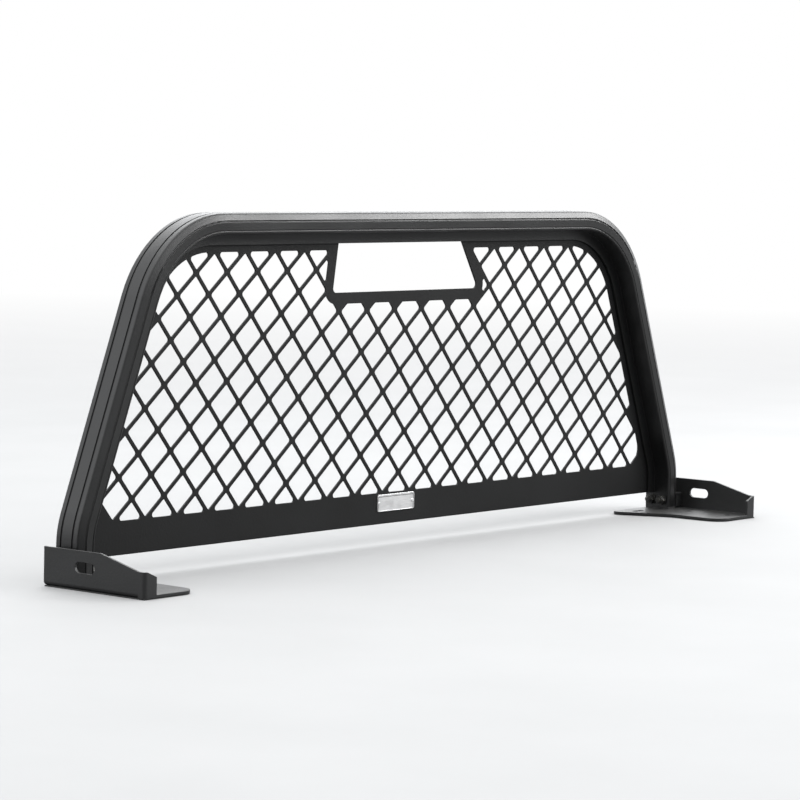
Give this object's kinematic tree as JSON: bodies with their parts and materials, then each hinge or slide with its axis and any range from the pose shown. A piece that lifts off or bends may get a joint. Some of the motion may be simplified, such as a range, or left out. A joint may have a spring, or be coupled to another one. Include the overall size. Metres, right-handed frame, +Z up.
{
  "type": "headache rack",
  "caption": "Black pickup headache rack: bent hoop with a diamond-mesh panel, brake-light window and two folded rail brackets.",
  "frame": {"origin": "bottom centre of the bounding box, on the bed rails", "axes": "+X across the truck to its right side, +Y forward toward the cab, +Z up"},
  "size_m": [1.744, 0.223, 0.6],
  "materials": {
    "powder_coat_aluminium": "satin",
    "powder_coat_sheet": "satin",
    "powder_coat_steel": "satin",
    "rubber": "matte",
    "zinc_steel": "satin",
    "black_zinc_steel": "satin",
    "bare_aluminium": "satin",
    "nylon": "matte"
  },
  "bodies": {
    "root": {"hoop_frame": "powder_coat_aluminium", "mesh_panel": "powder_coat_sheet", "panel_gasket": "rubber", "panel_studs": "zinc_steel", "panel_washers": "zinc_steel", "panel_lock_nuts": "zinc_steel", "nameplate": "bare_aluminium", "nameplate_rivets": "bare_aluminium", "foot_bracket_left": "powder_coat_steel", "foot_pad_left": "rubber", "leg_end_cap_left": "nylon", "leg_insert_left": "bare_aluminium", "wall_spacer_left": "powder_coat_aluminium", "bracket_studs_left": "black_zinc_steel", "leg_washers_left": "black_zinc_steel", "leg_lock_nuts_left": "black_zinc_steel", "foot_bracket_right": "powder_coat_steel", "foot_pad_right": "rubber", "leg_end_cap_right": "nylon", "leg_insert_right": "bare_aluminium", "wall_spacer_right": "powder_coat_aluminium", "bracket_studs_right": "black_zinc_steel", "leg_washers_right": "black_zinc_steel", "leg_lock_nuts_right": "black_zinc_steel"}
  },
  "joints": []
}
